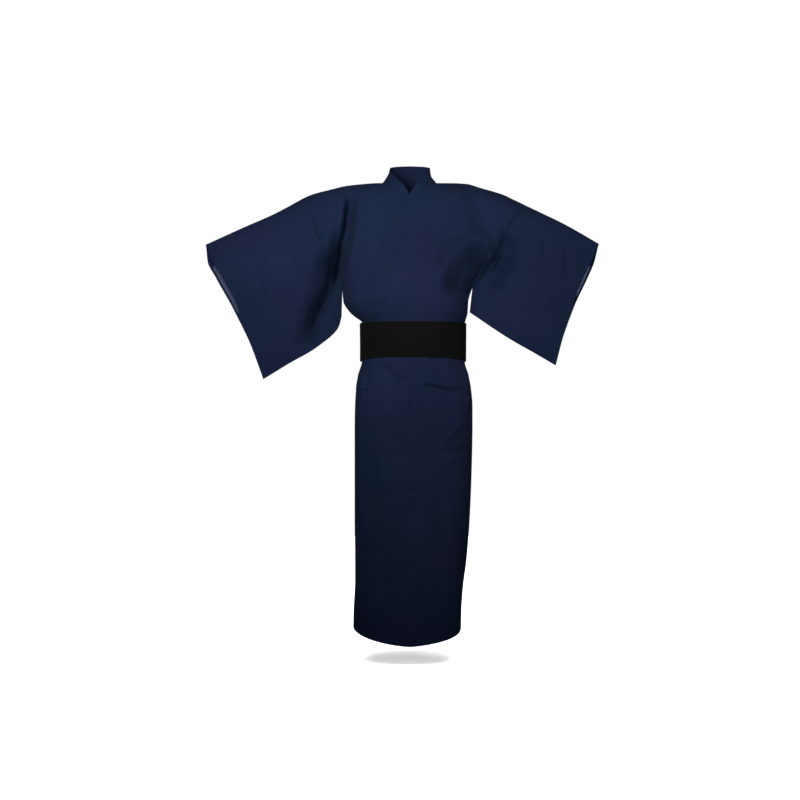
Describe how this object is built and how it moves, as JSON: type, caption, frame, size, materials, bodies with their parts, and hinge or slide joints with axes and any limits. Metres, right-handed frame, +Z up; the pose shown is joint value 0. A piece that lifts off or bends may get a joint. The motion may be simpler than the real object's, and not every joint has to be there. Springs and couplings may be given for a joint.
{
  "type": "cotton yukata robe with belt",
  "caption": "Man's plain unlined cotton yukata, worn left front over right with a stiff plain belt, filled out with no wearer.",
  "frame": {"origin": "middle of the neck opening at the height of the shoulders, where the wearer holds the garment up", "axes": "+Z up along the body, the front faces -Y, +X is the wearer's left"},
  "size_m": [1.2125, 0.261, 1.4787],
  "materials": {
    "cloth": "matte navy cotton plain weave with faint slubs",
    "collar_cloth": "the same navy cotton, folded and pressed into a band",
    "belt_cloth": "matte black ribbed belt weave"
  },
  "bodies": {
    "root": {"body_left": "cloth", "body_right": "cloth", "overlap_left": "cloth", "overlap_right": "cloth", "sleeve_left": "cloth", "sleeve_right": "cloth", "collar": "collar_cloth", "belt": "belt_cloth"}
  },
  "joints": []
}
